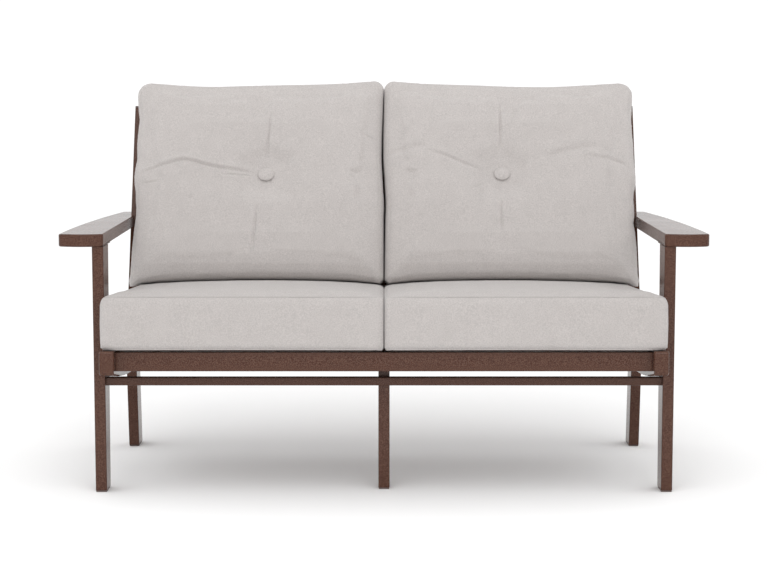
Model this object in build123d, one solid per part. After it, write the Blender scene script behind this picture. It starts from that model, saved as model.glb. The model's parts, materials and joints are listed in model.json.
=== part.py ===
from build123d import *
import math
import os

# A two-seat garden loveseat: a welded metal frame that carries four loose cushions.
# Lengths are in millimetres and angles in degrees. X runs to the right of someone who faces
# the seat, Y runs to the rear and Z up. The pieces are modelled from the front face of the
# front legs, and moved at the end so that the origin is on the ground under the middle.

# General
overrun = 12.0
fit_clearance = 0.2
soft_clearance = 0.3
weld_flush = 1.5

# Legs and posts, which are flat tapered tubes
stance_width = 1333.0
leg_thickness = 26.0
leg_wall = 2.5
leg_edge_radius = 2.0
front_leg_foot_depth = 58.0
front_leg_head_depth = 78.0
rear_foot_front = 551.0
rear_foot_depth = 64.0
bend_front = 517.0
bend_height = 262.0
bend_depth = 70.0
bend_front_radius = 120.0
bend_rear_radius = 80.0
back_recline = 21.3
post_rise = 664.0
post_head_depth = 46.0
centre_leg_depth = 45.0

# Foot glides, caps and plugs
glide_height = 4.0
glide_inset = 1.0
plug_length = 14.0
post_cap_height = 5.0
cap_edge_radius = 1.5
rail_plug_height = 3.0

# Seat frame, measured along the sloping seat from the top of the nose of the side rails
seat_slope = 3.2
seat_front_height = 341.0
nose_overhang = 89.0
nose_height = 54.0
nose_top_radius = 6.0
nose_bottom_radius = 8.0
side_rail_width = 33.5
side_rail_lap = 57.0
side_rail_depth = 73.6
side_rail_curve_run = 281.0
side_rail_edge_radius = 4.5
rail_wall = 2.5
front_rail_recess = 28.0
front_rail_drop = 4.2
front_rail_thickness = 32.0
front_rail_height = 43.5
rail_edge_radius = 3.0
rear_rail_thickness = 32.0
rear_rail_height = 40.0
rear_rail_inset = 20.0
beam_width = 26.0
beam_height = 30.0
seat_slat_count = 6
seat_slat_width = 38.0
seat_slat_thickness = 14.0
slat_wall = 1.8
slat_edge_radius = 2.5

# Stretcher between the front legs, so far below the front of the seat
stretcher_size = 19.0
stretcher_setback = 12.5
stretcher_drop = 93.8

# Arms, cast with a hollow underside
arm_underside = 569.5
arm_thickness = 29.0
arm_front_width = 102.0
arm_front_bow = 14.0
arm_length = 809.0
arm_rear_inner = 21.0
arm_rear_width = 48.0
arm_outer_bow = 12.0
arm_corner_radius = 13.0
arm_edge_radius = 3.5
arm_skin = 4.5
arm_rim = 6.0
arm_rib_thickness = 4.0
arm_rib_count = 5
arm_pad_margin = 9.0
arm_plate_thickness = 4.0
arm_plate_tail = 44.0
arm_plate_setback = 13.0
arm_plate_inset = 2.0
arm_post_pad_front = 26.0
arm_post_pad_rear = 30.0

# Screws and bolts that hold the arms
screw_radius = 2.5
screw_head_radius = 5.0
screw_head_height = 3.0
screw_length = 20.0
screw_spacing = 20.0
bolt_radius = 4.0
bolt_head_radius = 7.5
bolt_head_height = 4.0
bolt_grip_in_arm = 24.0

# Back frame, measured up the slope of the posts from their bend
back_top_rail_drop = 22.0
back_rail_height = 40.0
back_rail_thickness = 26.0
back_bottom_rail_drop = 176.0
back_slat_count = 11
back_slat_width = 40.0
back_slat_thickness = 12.0

# Seat cushions
cushion_gap = 3.0
seat_cushion_side_gap = 2.5
seat_cushion_front = 1.5
seat_cushion_length = 634.0
seat_cushion_edge = 121.0
seat_cushion_crown = 20.0
seat_cushion_round = 10.0
seat_cushion_corner = 22.0
seat_cushion_draw = 5.0
largest_corner_share = 0.8

# Back cushions
back_cushion_overlap = 4.5
back_cushion_top_rise = 684.0
back_cushion_edge = 152.0
back_cushion_crown = 18.0
back_cushion_round = 24.0
back_cushion_corner = 34.0
back_cushion_low_corner = 8.0
back_cushion_draw = 6.0
resting_draw_share = 0.1
tuft_inward = 20.75
tuft_height_share = 0.515
tuft_depth = 18.0
tuft_radius = 25.5
tuft_slope_radius = 78.0
rear_tuft_depth = 8.0
button_radius = 21.5
button_height = 8.0
button_rim_share = 0.4
rear_button_radius = 15.0
rear_button_height = 5.0

# Rings of a cushion, from the face that it lies on to its crown. Each row gives the share of
# the edge height, of the crown, of the edge rounding and of the half size that is left out.
box_ring_shares = (
    (0.00, 0.00, 1.00, 0.00),
    (0.04, 0.00, 0.42, 0.00),
    (0.13, 0.00, 0.06, 0.00),
    (0.50, 0.00, 0.00, 0.00),
    (0.87, 0.00, 0.06, 0.00),
    (0.96, 0.00, 0.42, 0.00),
    (1.00, 0.05, 1.00, 0.00),
)
crown_ring_shares = (
    (1.00, 0.35, 1.00, 0.06),
    (1.00, 0.62, 1.00, 0.17),
    (1.00, 0.84, 1.00, 0.34),
    (1.00, 0.96, 1.00, 0.56),
    (1.00, 1.00, 1.00, 0.80),
)
tufted_crown_shares = (
    (1.00, 0.42, 1.00, 0.07),
    (1.00, 0.78, 1.00, 0.20),
    (1.00, 1.00, 1.00, 0.41),
)

# Directions and lines that several pieces share
slope_sin = math.sin(math.radians(seat_slope))
slope_cos = math.cos(math.radians(seat_slope))
recline_sin = math.sin(math.radians(back_recline))
recline_cos = math.cos(math.radians(back_recline))
kick_angle = math.degrees(math.atan2(rear_foot_front - bend_front, bend_height))
leg_outer_x = stance_width / 2
leg_inner_x = leg_outer_x - leg_thickness
rail_inner_x = leg_inner_x - side_rail_width
side_rail_length = (nose_overhang + bend_front + side_rail_lap) / slope_cos
rear_rail_run = side_rail_length - rear_rail_inset - rear_rail_thickness


def seat_point(run, lift):
    """Y and Z of a point that lies so far back along the seat and so far above its plane."""
    y = -nose_overhang + run * slope_cos + lift * slope_sin
    z = seat_front_height - run * slope_sin + lift * slope_cos
    return y, z


def back_point(rise, depth):
    """Y and Z of a point so far up the front of the posts and so far behind that face."""
    y = bend_front + rise * recline_sin + depth * recline_cos
    z = bend_height + rise * recline_cos - depth * recline_sin
    return y, z


def rise_at_lift(lift, depth):
    """How far up the posts a point is that lies so far above the seat's plane."""
    base_y, base_z = back_point(0, depth)
    base_lift = (base_y + nose_overhang) * slope_sin + (base_z - seat_front_height) * slope_cos
    return (lift - base_lift) / (recline_sin * slope_sin + recline_cos * slope_cos)


def level(height):
    """A level plane at a height."""
    return Plane.XY.offset(height)


def seat_cut(run):
    """A plane square to the seat, facing the rear."""
    y, z = seat_point(run, 0)
    return Plane(origin=(0, y, z), x_dir=(1, 0, 0), z_dir=(0, slope_cos, -slope_sin))


def seat_layer(run, lift):
    """A plane parallel to the seat, facing up, with its own x along X."""
    y, z = seat_point(run, lift)
    return Plane(origin=(0, y, z), x_dir=(1, 0, 0), z_dir=(0, slope_sin, slope_cos))


def back_cut(rise):
    """A plane square to the posts, facing up them."""
    y, z = back_point(rise, 0)
    return Plane(origin=(0, y, z), x_dir=(1, 0, 0), z_dir=(0, recline_sin, recline_cos))


def back_layer(depth):
    """A plane parallel to the fronts of the posts, facing forward, with its own y up them."""
    y, z = back_point(0, depth)
    return Plane(origin=(0, y, z), x_dir=(1, 0, 0), z_dir=(0, -recline_cos, recline_sin))


def between(solid, low_plane, high_plane):
    """The slice of a solid between two planes that face the same way."""
    upper = split(solid, bisect_by=low_plane, keep=Keep.TOP)
    return split(upper, bisect_by=high_plane, keep=Keep.BOTTOM)


def blade(outline, x_low, thickness):
    """A flat piece from its outline in Y and Z, as thick as given along X."""
    return extrude(Plane.YZ.offset(x_low) * outline, amount=thickness)


def rounded_blade(outline, x_low, thickness, radius):
    """A flat piece whose long edges are rounded."""
    solid = blade(outline, x_low, thickness)
    sides = solid.faces().sort_by(Axis.X)
    return fillet(sides[0].edges() + sides[-1].edges(), radius)


def inner_blade(outline, x_low, thickness, wall):
    """The hollow of a flat piece with walls of one thickness."""
    return blade(offset(outline, amount=-wall), x_low + wall, thickness - 2 * wall)


def tube(plane, width, height, length, wall, radius):
    """A rectangular tube along a plane's normal, open at both ends."""
    outer = extrude(plane * RectangleRounded(width, height, radius), amount=length)
    inner_width = width - 2 * wall
    inner_height = height - 2 * wall
    return outer - extrude(plane * Rectangle(inner_width, inner_height), amount=length)


def cross_bar(centre, facing, half_length, depth, height, wall, radius):
    """A rectangular tube from side to side, with its depth along one direction in Y and Z."""
    y, z = centre
    start = Plane(origin=(-half_length, y, z), x_dir=(0, facing[0], facing[1]), z_dir=(1, 0, 0))
    return tube(start, depth, height, 2 * half_length, wall, radius)


def other_side(solid):
    """The same piece on the left of the loveseat."""
    return mirror(solid, about=Plane.YZ)


# Legs and posts

def front_leg_outline():
    """Side view of a front leg, longer than the leg at both ends."""
    lean = (front_leg_head_depth - front_leg_foot_depth) / arm_underside
    foot_depth = front_leg_foot_depth - lean * overrun
    head_depth = front_leg_head_depth + lean * overrun
    head = arm_underside + overrun
    return make_face(Polyline((0, -overrun), (foot_depth, -overrun), (head_depth, head), (0, head), close=True))


def rear_post_outline():
    """Side view of a rear leg and post in one, longer than the piece at both ends."""
    kick = math.radians(kick_angle)
    fold = math.radians((back_recline - kick_angle) / 2)
    foot_front = (rear_foot_front + overrun * math.tan(kick), -overrun)
    foot_rear = (foot_front[0] + rear_foot_depth, -overrun)
    bend_rear = (bend_front + bend_depth * math.cos(fold), bend_height - bend_depth * math.sin(fold))
    head_front = back_point(post_rise + 2 * overrun, 0)
    head_rear = back_point(post_rise + 2 * overrun, post_head_depth)
    bend = (bend_front, bend_height)
    outline = make_face(Polyline(foot_front, foot_rear, bend_rear, head_rear, head_front, bend, close=True))
    front_corner = outline.vertices().sort_by_distance((*bend, 0))[0]
    outline = fillet(front_corner, bend_front_radius)
    rear_corner = outline.vertices().sort_by_distance((*bend_rear, 0))[0]
    return fillet(rear_corner, bend_rear_radius)


def centre_leg_outline():
    """Side view of the middle front leg, longer than the leg at both ends."""
    front = stretcher_setback + stretcher_size
    rear = front + centre_leg_depth
    head = seat_front_height
    return make_face(Polyline((front, -overrun), (rear, -overrun), (rear, head), (front, head), close=True))


def leg_tube(outline, x_low):
    """A leg: a flat tube of the outline, still too long at both ends."""
    outer = rounded_blade(outline, x_low, leg_thickness, leg_edge_radius)
    return outer - inner_blade(outline, x_low, leg_thickness, leg_wall)


def leg_plug(outline, x_low, low_plane, high_plane):
    """A plug that fills the end of a leg's hollow, from one plane to the other."""
    inner = inner_blade(outline, x_low, leg_thickness, leg_wall + fit_clearance)
    return between(inner, low_plane, high_plane)


def foot_glide(outline, x_low):
    """A plastic foot: a thin sole under the leg and a plug up its hollow."""
    sole_width = leg_thickness - 2 * glide_inset
    sole = blade(offset(outline, amount=-glide_inset), x_low + glide_inset, sole_width)
    sole = between(sole, level(0), level(glide_height))
    return sole + leg_plug(outline, x_low, level(glide_height), level(glide_height + plug_length))


def front_leg():
    """The right front leg, from its glide up to the arm."""
    leg = leg_tube(front_leg_outline(), leg_inner_x)
    return between(leg, level(glide_height), level(arm_underside))


def rear_post():
    """The right rear leg and back post, one bent blade drilled for the arm's bolt."""
    post = leg_tube(rear_post_outline(), leg_inner_x)
    post = between(post, level(glide_height), back_cut(post_rise))
    return post - bolt_hole(leg_inner_x - overrun, leg_thickness + 2 * overrun)


def centre_leg():
    """The middle front leg, cut off to the slope of the beam that stands on it."""
    leg = leg_tube(centre_leg_outline(), -leg_thickness / 2)
    leg = split(leg, bisect_by=level(glide_height), keep=Keep.TOP)
    return split(leg, bisect_by=seat_layer(0, beam_lift() - beam_height / 2), keep=Keep.BOTTOM)


def post_cap():
    """The cap on the head of the right post, with its plug in the hollow."""
    head = rounded_blade(rear_post_outline(), leg_inner_x, leg_thickness, leg_edge_radius)
    cap = between(head, back_cut(post_rise), back_cut(post_rise + post_cap_height))
    top = cap.faces().sort_by(Axis.Z)[-1]
    cap = fillet(top.edges(), cap_edge_radius)
    plug = leg_plug(rear_post_outline(), leg_inner_x, back_cut(post_rise - plug_length), back_cut(post_rise))
    return cap + plug


# Seat frame

def side_rail_outline(extra):
    """Side view of a side rail, with a nose that curves down and back, along the seat."""
    length = side_rail_length + extra
    curve_start = (side_rail_curve_run, -side_rail_depth)
    nose_bottom = (0, -nose_height)
    top = Polyline(nose_bottom, (0, 0), (length, 0), (length, -side_rail_depth), curve_start)
    curve = TangentArc(curve_start, nose_bottom, tangent=(-1, 0))
    outline = make_face([top, curve])
    corner = outline.vertices().sort_by_distance((0, 0, 0))[0]
    outline = fillet(corner, nose_top_radius)
    corner = outline.vertices().sort_by_distance((0, -nose_height, 0))[0]
    return fillet(corner, nose_bottom_radius)


def seat_side_plane(x):
    """The plane of a side rail's side view: its own x runs back along the seat."""
    y, z = seat_point(0, 0)
    return Plane(origin=(x, y, z), x_dir=(0, slope_cos, -slope_sin), z_dir=(1, 0, 0))


def side_rail():
    """The right side rail: a hollow beam with a closed nose, open at the rear."""
    outer = extrude(seat_side_plane(rail_inner_x) * side_rail_outline(0), amount=side_rail_width)
    sides = outer.faces().sort_by(Axis.X)
    long_edges = [face.edges().sort_by(Axis.Y)[0] for face in (sides[0], sides[-1])]
    outer = fillet(long_edges, side_rail_edge_radius)
    return outer - side_rail_hollow(rail_wall)


def side_rail_hollow(wall):
    """The hollow of a side rail, open past its rear end."""
    hollow = offset(side_rail_outline(overrun + wall), amount=-wall)
    return extrude(seat_side_plane(rail_inner_x + wall) * hollow, amount=side_rail_width - 2 * wall)


def side_rail_plug():
    """The plug in the open rear end of the right side rail."""
    cover_outline = side_rail_outline(rail_plug_height)
    cover = extrude(seat_side_plane(rail_inner_x) * cover_outline, amount=side_rail_width)
    cover = split(cover, bisect_by=seat_cut(side_rail_length), keep=Keep.TOP)
    cover = fillet(cover.edges().filter_by(seat_cut(0)).group_by(Axis.Y)[-1], cap_edge_radius)
    inner = side_rail_hollow(rail_wall + fit_clearance)
    return cover + between(inner, seat_cut(side_rail_length - plug_length), seat_cut(side_rail_length))


def seat_bar(run, thickness, height, wall, radius, top_lift):
    """A tube across the seat frame, between the side rails, from its front and top."""
    centre = seat_point(run + thickness / 2, top_lift - height / 2)
    return cross_bar(centre, (slope_cos, -slope_sin), rail_inner_x, thickness, height, wall, radius)


def front_rail():
    """The rail across the front, a little behind and below the noses of the side rails."""
    return seat_bar(
        front_rail_recess, front_rail_thickness, front_rail_height, rail_wall, rail_edge_radius, -front_rail_drop
    )


def rear_rail():
    """The rail across the rear of the seat."""
    return seat_bar(
        rear_rail_run, rear_rail_thickness, rear_rail_height, rail_wall, rail_edge_radius, -weld_flush
    )


def front_rail_back():
    """How far along the seat the rear face of the front rail lies."""
    return front_rail_recess + front_rail_thickness


def beam_lift():
    """Height of the middle of the centre beam above the seat's plane; the slats lie on it."""
    return -weld_flush - seat_slat_thickness - beam_height / 2


def centre_beam():
    """The beam from the front rail to the rear rail, under the middle of the slats."""
    y, z = seat_point(front_rail_back(), beam_lift())
    start = Plane(origin=(0, y, z), x_dir=(1, 0, 0), z_dir=(0, slope_cos, -slope_sin))
    length = rear_rail_run - front_rail_back()
    return tube(start, beam_width, beam_height, length, rail_wall, rail_edge_radius)


def seat_slat(number):
    """One of the slats across the seat, evenly spaced between the front and rear rails."""
    space = rear_rail_run - front_rail_back()
    gap = (space - seat_slat_count * seat_slat_width) / (seat_slat_count + 1)
    run = front_rail_back() + gap * (number + 1) + seat_slat_width * number
    return seat_bar(run, seat_slat_width, seat_slat_thickness, slat_wall, slat_edge_radius, -weld_flush)


def stretcher():
    """The thin square tube between the front legs, in front of the middle leg."""
    bottom = seat_front_height - stretcher_drop
    centre = (stretcher_setback + stretcher_size / 2, bottom + stretcher_size / 2)
    return cross_bar(centre, (1, 0), leg_inner_x, stretcher_size, stretcher_size, slat_wall, slat_edge_radius)


# Back frame

def back_bar(rise):
    """A tube between the posts, flush with their fronts."""
    centre = back_point(rise + back_rail_height / 2, back_rail_thickness / 2)
    facing = (recline_cos, -recline_sin)
    return cross_bar(
        centre, facing, leg_inner_x, back_rail_thickness, back_rail_height, rail_wall, rail_edge_radius
    )


def back_top_rail_rise():
    """How far up the posts the lower side of the top rail lies."""
    return post_rise - back_top_rail_drop - back_rail_height


def back_bottom_rail_rise():
    """How far up the posts the lower side of the bottom rail lies, well below the arms' bolts."""
    return (arm_underside - bend_height) / recline_cos - back_bottom_rail_drop


def back_slat(number):
    """One of the upright slats of the back, evenly spaced between the posts."""
    low = back_bottom_rail_rise() + back_rail_height
    length = back_top_rail_rise() - low
    gap = (2 * leg_inner_x - back_slat_count * back_slat_width) / (back_slat_count + 1)
    x = -leg_inner_x + gap * (number + 1) + back_slat_width * (number + 1 / 2)
    y, z = back_point(low, back_slat_thickness / 2)
    start = Plane(origin=(x, y, z), x_dir=(1, 0, 0), z_dir=(0, recline_sin, recline_cos))
    return tube(start, back_slat_width, back_slat_thickness, length, slat_wall, slat_edge_radius)


# Arms

def arm_outline():
    """The right arm from above: bowed in front and outside, narrower to the rear."""
    front_inner = (leg_inner_x, 0)
    front_outer = (leg_inner_x + arm_front_width, 0)
    front_middle = (leg_inner_x + arm_front_width / 2, -arm_front_bow)
    rear_inner = (leg_inner_x + arm_rear_inner, arm_length)
    rear_outer = (rear_inner[0] + arm_rear_width, arm_length)
    outer_middle = ((front_outer[0] + rear_outer[0]) / 2 + arm_outer_bow, arm_length / 2)
    front = ThreePointArc(front_inner, front_middle, front_outer)
    outer = ThreePointArc(front_outer, outer_middle, rear_outer)
    inner = Polyline(rear_outer, rear_inner, front_inner)
    outline = make_face([front, outer, inner])
    return fillet(outline.vertices(), arm_corner_radius)


def arm_post_slot(gap):
    """The space that the post takes up, with a gap all round."""
    outline = offset(rear_post_outline(), amount=gap)
    return blade(outline, leg_inner_x - overrun, leg_thickness + overrun + gap)


def arm_hollow():
    """The recess in the underside of an arm, less its pads and ribs."""
    depth = arm_thickness - arm_skin
    recess = extrude(level(arm_underside) * offset(arm_outline(), amount=-arm_rim), amount=depth)
    long_side = arm_front_width * 2
    pad_y = front_leg_head_depth + arm_plate_tail + arm_pad_margin
    leg_pad = Pos(leg_outer_x, 0, arm_underside) * Box(
        long_side, 2 * pad_y, depth, align=(Align.CENTER, Align.CENTER, Align.MIN)
    )
    post_front, post_rear = post_span(arm_underside)
    high_front, high_rear = post_span(arm_underside + arm_thickness)
    pad_low = post_front - arm_post_pad_front
    pad_high = high_rear + arm_post_pad_rear
    post_pad = Pos(leg_outer_x, pad_low, arm_underside) * Box(
        long_side, pad_high - pad_low, depth, align=(Align.CENTER, Align.MIN, Align.MIN)
    )
    recess = recess - leg_pad - post_pad
    pitch = (pad_low - pad_y) / (arm_rib_count + 1)
    for number in range(arm_rib_count):
        rib_y = pad_y + pitch * (number + 1)
        recess -= Pos(leg_outer_x, rib_y, arm_underside) * Box(
            long_side, arm_rib_thickness, depth, align=(Align.CENTER, Align.CENTER, Align.MIN)
        )
    return recess


def post_span(height):
    """Front and rear of the post at a height above its bend."""
    section = Plane.YZ * rear_post_outline()
    cut = section & Plane.YZ * Pos(arm_length / 2, height) * Rectangle(2 * arm_length, fit_clearance)
    box = cut.bounding_box()
    return box.min.Y, box.max.Y


def arm():
    """The right arm: a cast shell, notched round the post, with pads for leg and post."""
    slab = extrude(level(arm_underside) * arm_outline(), amount=arm_thickness)
    flats = slab.faces().filter_by(Plane.XY)
    slab = fillet(flats.edges(), arm_edge_radius)
    body = slab - arm_hollow() - arm_post_slot(fit_clearance) - arm_plate_body(fit_clearance)
    for y in screw_places():
        body -= Pos(screw_x(), y, arm_underside - overrun) * drill(
            screw_radius + fit_clearance, overrun + screw_length + fit_clearance
        )
    return body - bolt_hole(leg_outer_x - overrun, overrun + bolt_grip_in_arm + fit_clearance)


def arm_plate_body(gap):
    """The outside of an arm's plate, with a gap round its edges."""
    width = leg_thickness - 2 * arm_plate_inset + 2 * gap
    length = front_leg_head_depth + arm_plate_tail - arm_plate_setback + 2 * gap
    body = Pos(leg_inner_x + arm_plate_inset - gap, arm_plate_setback - gap, arm_underside) * Box(
        width, length, arm_plate_thickness, align=(Align.MIN, Align.MIN, Align.MIN)
    )
    return fillet(body.edges().filter_by(Axis.Z), leg_edge_radius)


def arm_plate():
    """The plate welded on the head of the right front leg, let into the arm that is screwed to it."""
    plate = arm_plate_body(0)
    for y in screw_places():
        plate -= Pos(screw_x(), y, arm_underside - overrun) * drill(
            screw_radius + fit_clearance, arm_plate_thickness + 2 * overrun
        )
    return plate


def drill(radius, length):
    """A round bar that stands on its lower end."""
    return Cylinder(radius, length, align=(Align.CENTER, Align.CENTER, Align.MIN))


def screw_x():
    """The line of the arm's screws: the middle of the leg."""
    return leg_inner_x + leg_thickness / 2


def screw_places():
    """Where the arm's screws stand along the plate's tail, behind the leg."""
    middle = front_leg_head_depth + arm_plate_tail / 2
    return (middle - screw_spacing / 2, middle + screw_spacing / 2)


def arm_screws():
    """The screws of both arms: round heads under the plates, shanks up into the pads."""
    screws = []
    for y in screw_places():
        head = Pos(screw_x(), y, arm_underside - screw_head_height) * drill(screw_head_radius, screw_head_height)
        head = fillet(head.edges().group_by(Axis.Z)[0], screw_head_height / 2)
        screw = head + Pos(screw_x(), y, arm_underside) * drill(screw_radius, screw_length)
        screws += [screw, other_side(screw)]
    return Compound(children=[solid for screw in screws for solid in screw.solids()])


def bolt_centre():
    """Y and Z of the bolt through the post, in the middle of the post and the arm."""
    height = arm_underside + arm_thickness / 2
    front, rear = post_span(height)
    return (front + rear) / 2, height


def bolt_hole(x_low, length):
    """The hole for the bolt through the post and into the arm."""
    y, z = bolt_centre()
    start = Plane(origin=(x_low, y, z), z_dir=(1, 0, 0))
    return extrude(start * Circle(bolt_radius + fit_clearance), amount=length)


def arm_bolts():
    """The bolts of both arms: a head on the inside of each post, a shank into the arm."""
    y, z = bolt_centre()
    start = Plane(origin=(leg_inner_x, y, z), z_dir=(1, 0, 0))
    shank = extrude(start * Circle(bolt_radius), amount=leg_thickness + bolt_grip_in_arm)
    head = extrude(start * Circle(bolt_head_radius), amount=-bolt_head_height)
    head = fillet(head.edges().group_by(Axis.X)[0], bolt_head_height / 2)
    bolt = head + shank
    bolts = [bolt, other_side(bolt)]
    return Compound(children=[solid for item in bolts for solid in item.solids()])


# Cushions

def ring(low, high, corner, low_corner, draw, low_draw):
    """One closed line round a cushion, with rounded corners and sides drawn in between them."""
    x_low, y_low = low
    x_high, y_high = high
    x_middle = (x_low + x_high) / 2
    y_middle = (y_low + y_high) / 2
    turn = corner * (1 - math.sqrt(1 / 2))
    low_turn = low_corner * (1 - math.sqrt(1 / 2))
    sides = (
        ((x_low + low_corner, y_low), (x_middle, y_low + low_draw), (x_high - low_corner, y_low)),
        ((x_high - low_corner, y_low), (x_high - low_turn, y_low + low_turn), (x_high, y_low + low_corner)),
        ((x_high, y_low + low_corner), (x_high - draw, y_middle), (x_high, y_high - corner)),
        ((x_high, y_high - corner), (x_high - turn, y_high - turn), (x_high - corner, y_high)),
        ((x_high - corner, y_high), (x_middle, y_high - draw), (x_low + corner, y_high)),
        ((x_low + corner, y_high), (x_low + turn, y_high - turn), (x_low, y_high - corner)),
        ((x_low, y_high - corner), (x_low + draw, y_middle), (x_low, y_low + low_corner)),
        ((x_low, y_low + low_corner), (x_low + low_turn, y_low + low_turn), (x_low + low_corner, y_low)),
    )
    return make_face([ThreePointArc(*points) for points in sides])


def ring_corner(corner, inset_share, room):
    """Corner radius of a ring: it grows towards the crown, as far as the ring's half size allows."""
    return min(corner * (1 + inset_share), room * largest_corner_share)


def round_ring(centre, radius):
    """A ring about a tuft, as nearly round as the other rings allow."""
    x, y = centre
    across = radius * math.cos(math.radians(45 / 2))
    corner = across - radius * math.sin(math.radians(45 / 2))
    bulge = across - radius
    return ring((x - across, y - across), (x + across, y + across), corner, corner, bulge, bulge)


def seat_cushion_sides():
    """Where the left and right sides of the right seat cushion lie."""
    return cushion_gap / 2, leg_inner_x - seat_cushion_side_gap


def seat_cushion_half():
    """Half of the seat cushion's width or length, whichever is less."""
    x_low, x_high = seat_cushion_sides()
    return min(x_high - x_low, seat_cushion_length) / 2


def seat_ring_place(shares):
    """How far above the seat and how far in from the cushion's edge a ring lies."""
    edge_share, crown_share, round_share, inset_share = shares
    lift = soft_clearance + edge_share * seat_cushion_edge + crown_share * seat_cushion_crown
    inset = round_share * seat_cushion_round + inset_share * (seat_cushion_half() - seat_cushion_round)
    return lift, inset


def seat_top_lift(distance):
    """Height of a seat cushion's top above the seat's plane, so far in from its edge."""
    low_lift, low_inset = seat_ring_place(box_ring_shares[-1])
    for shares in crown_ring_shares:
        lift, inset = seat_ring_place(shares)
        if distance < inset:
            return low_lift + (lift - low_lift) * max(distance - low_inset, 0) / (inset - low_inset)
        low_lift, low_inset = lift, inset
    return low_lift


def seat_cushion():
    """The right seat cushion: flat below, drawn in at its sides and crowned on top."""
    x_low, x_high = seat_cushion_sides()
    sections = []
    for shares in box_ring_shares + crown_ring_shares:
        round_share, inset_share = shares[2:]
        lift, inset = seat_ring_place(shares)
        rear = seat_cushion_front + seat_cushion_length
        low = (x_low + inset, seat_cushion_front + inset)
        high = (x_high - inset, rear - inset)
        corner = ring_corner(seat_cushion_corner, inset_share, seat_cushion_half() - inset)
        draw = seat_cushion_draw * (1 - round_share / 2) * (1 - inset_share)
        sections.append(seat_layer(0, lift) * ring(low, high, corner, corner, draw, draw))
    return loft(sections, ruled=True)


def back_rest_lift():
    """Height of the back cushion's underside: it lies on the seat cushion at its front edge."""
    edge_lift = soft_clearance + seat_cushion_edge
    depth = -back_cushion_edge * box_ring_shares[-3][0]
    y, z = back_point(rise_at_lift(edge_lift, depth), depth)
    run = (y + nose_overhang) * slope_cos - (z - seat_front_height) * slope_sin
    return seat_top_lift(seat_cushion_front + seat_cushion_length - run) + soft_clearance


def back_cushion_sides():
    """Where the left and right sides of the right back cushion lie."""
    return cushion_gap / 2, leg_inner_x + back_cushion_overlap


def tuft_centre():
    """X of the right tuft and how far up the posts it is, a little inwards of the cushion's middle."""
    x_low, x_high = back_cushion_sides()
    low = rise_at_lift(back_rest_lift(), -tuft_seat())
    rise = low + tuft_height_share * (back_cushion_top_rise - low)
    return (x_low + x_high) / 2 - tuft_inward, rise


def back_cushion():
    """The right back cushion: tufted in front and behind, and shaped to the seat below."""
    x_low, x_high = back_cushion_sides()
    rest_lift = back_rest_lift()
    tuft = tuft_centre()
    sections = [
        back_layer(-soft_clearance - rear_tuft_depth) * round_ring(tuft, tuft_radius),
        back_layer(-soft_clearance - rear_tuft_depth / 4) * round_ring(tuft, tuft_slope_radius),
    ]
    for edge_share, crown_share, round_share, inset_share in box_ring_shares + tufted_crown_shares:
        depth = edge_share * back_cushion_edge + crown_share * back_cushion_crown
        y_low = rise_at_lift(rest_lift, -soft_clearance - depth)
        half = min(x_high - x_low, back_cushion_top_rise - y_low) / 2
        inset = round_share * back_cushion_round + inset_share * (half - back_cushion_round)
        low = (x_low + inset, y_low + inset)
        high = (x_high - inset, back_cushion_top_rise - inset)
        corner = ring_corner(back_cushion_corner, inset_share, half - inset)
        low_corner = ring_corner(back_cushion_low_corner, inset_share, half - inset)
        draw = back_cushion_draw * (1 - round_share / 2) * (1 - inset_share)
        outline = ring(low, high, corner, low_corner, draw, draw * resting_draw_share)
        sections.append(back_layer(-soft_clearance - depth) * outline)
    full = back_cushion_edge + back_cushion_crown
    slope_level = -soft_clearance - full + tuft_depth / 3
    sections.append(back_layer(slope_level) * round_ring(tuft, tuft_slope_radius))
    sections.append(back_layer(-tuft_seat()) * round_ring(tuft, tuft_radius))
    return loft(sections, ruled=True)


def tuft_seat():
    """How far the bottom of the front tuft lies in front of the posts."""
    return soft_clearance + back_cushion_edge + back_cushion_crown - tuft_depth


def domed_button(plane, centre, facing, radius, height):
    """A covered button on a plane: a straight rim and a domed face."""
    rise = height * (1 - button_rim_share)
    dome_radius = (radius * radius + rise * rise) / (2 * rise)
    dome = Pos(0, 0, height - dome_radius) * Sphere(dome_radius)
    seat = Plane(origin=plane.from_local_coords((*centre, 0)), x_dir=plane.x_dir, z_dir=plane.z_dir * facing)
    return seat.location * (drill(radius, height) & dome)


def front_button():
    """The covered button in the front tuft of the right back cushion."""
    plane = back_layer(-tuft_seat() - soft_clearance)
    return domed_button(plane, tuft_centre(), 1, button_radius, button_height)


def rear_button():
    """The small flat button in the rear tuft of the right back cushion."""
    plane = back_layer(-rear_tuft_depth)
    return domed_button(plane, tuft_centre(), -1, rear_button_radius, rear_button_height)


def pairs():
    """The pieces that the loveseat has on its right and, mirrored, on its left."""
    return {
        "front_leg": front_leg(),
        "rear_post": rear_post(),
        "front_glide": foot_glide(front_leg_outline(), leg_inner_x),
        "rear_glide": foot_glide(rear_post_outline(), leg_inner_x),
        "post_cap": post_cap(),
        "side_rail": side_rail(),
        "side_rail_plug": side_rail_plug(),
        "arm": arm(),
        "arm_plate": arm_plate(),
        "seat_cushion": seat_cushion(),
        "back_cushion": back_cushion(),
        "front_button": front_button(),
        "rear_button": rear_button(),
    }


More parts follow.
